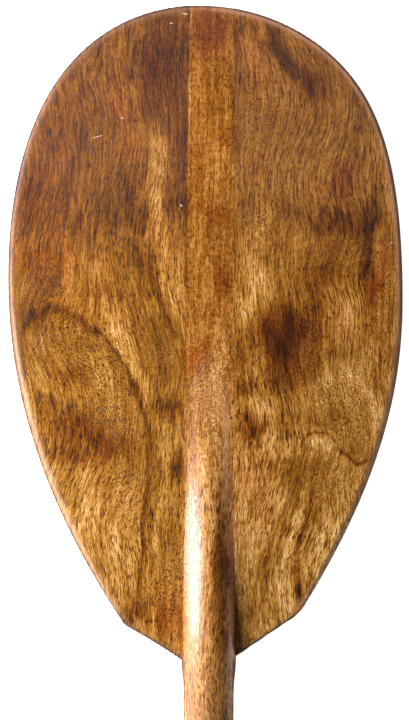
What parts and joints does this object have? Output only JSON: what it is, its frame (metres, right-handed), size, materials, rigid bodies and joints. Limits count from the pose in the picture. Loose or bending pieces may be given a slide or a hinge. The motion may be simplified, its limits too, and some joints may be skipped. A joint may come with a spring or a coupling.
{
  "type": "canoe paddle",
  "caption": "Single-ended wooden paddle: a broad flat oval blade with a centre ridge that grows into an oval shaft, ending in a cross grip.",
  "frame": {"origin": "on the blade's flat back face, on the shaft's centre plane, halfway along the blade", "axes": "+Y along the shaft towards the blade's tip, +Z out of the blade's ridged front face, +X to the blade's right seen from the front with the tip up"},
  "size_m": [0.2537, 1.2708, 0.026],
  "materials": {
    "wing_wood": "gloss varnish",
    "wing_wood_right": "gloss varnish",
    "stave_wood": "gloss varnish",
    "ridge_wood": "gloss varnish",
    "grip_wood": "gloss varnish",
    "pale_wood": "satin"
  },
  "bodies": {
    "root": {"left_blade_wing": "wing_wood", "right_blade_wing": "wing_wood_right", "stave_back_lamination": "stave_wood", "stave_front_lamination": "ridge_wood", "blade_dowel_1": "pale_wood", "blade_dowel_2": "pale_wood", "blade_dowel_3": "pale_wood", "blade_dowel_4": "pale_wood", "cross_grip": "grip_wood", "grip_pin": "pale_wood", "tenon_wedge_left": "pale_wood", "tenon_wedge_right": "pale_wood"}
  },
  "joints": []
}
